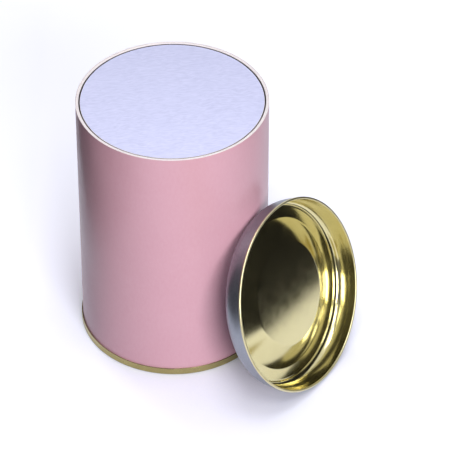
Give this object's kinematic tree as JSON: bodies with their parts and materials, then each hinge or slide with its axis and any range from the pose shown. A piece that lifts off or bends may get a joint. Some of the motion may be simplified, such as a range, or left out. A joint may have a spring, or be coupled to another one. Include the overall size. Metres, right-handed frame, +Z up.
{
  "type": "cardboard tube box",
  "caption": "Round board tube wrapped in plain paper, with a crimped tin end, a flush board seal and a tin slip lid leaning on its side.",
  "frame": {"origin": "middle of the footprint that the tube and the leaning lid cover together, on the floor", "axes": "+Z up along the tube's axis; +X from the tube towards the lid that leans on it; +Y to the left of the lid, seen from its mouth"},
  "size_m": [0.148, 0.103, 0.146],
  "materials": {
    "board": "cut edge of white-lined board",
    "wrap_paper": "satin printed paper",
    "seal_paper": "matt lavender paper",
    "gold_lacquer": "gold lacquer on tinplate",
    "tinplate": "bright tinplate outside, gold lacquer inside"
  },
  "bodies": {
    "root": {"board_tube": "board", "paper_wrap": "wrap_paper", "seal_disc": "board", "seal_paper": "seal_paper", "bottom_end": "gold_lacquer", "slip_lid": "tinplate"}
  },
  "joints": []
}
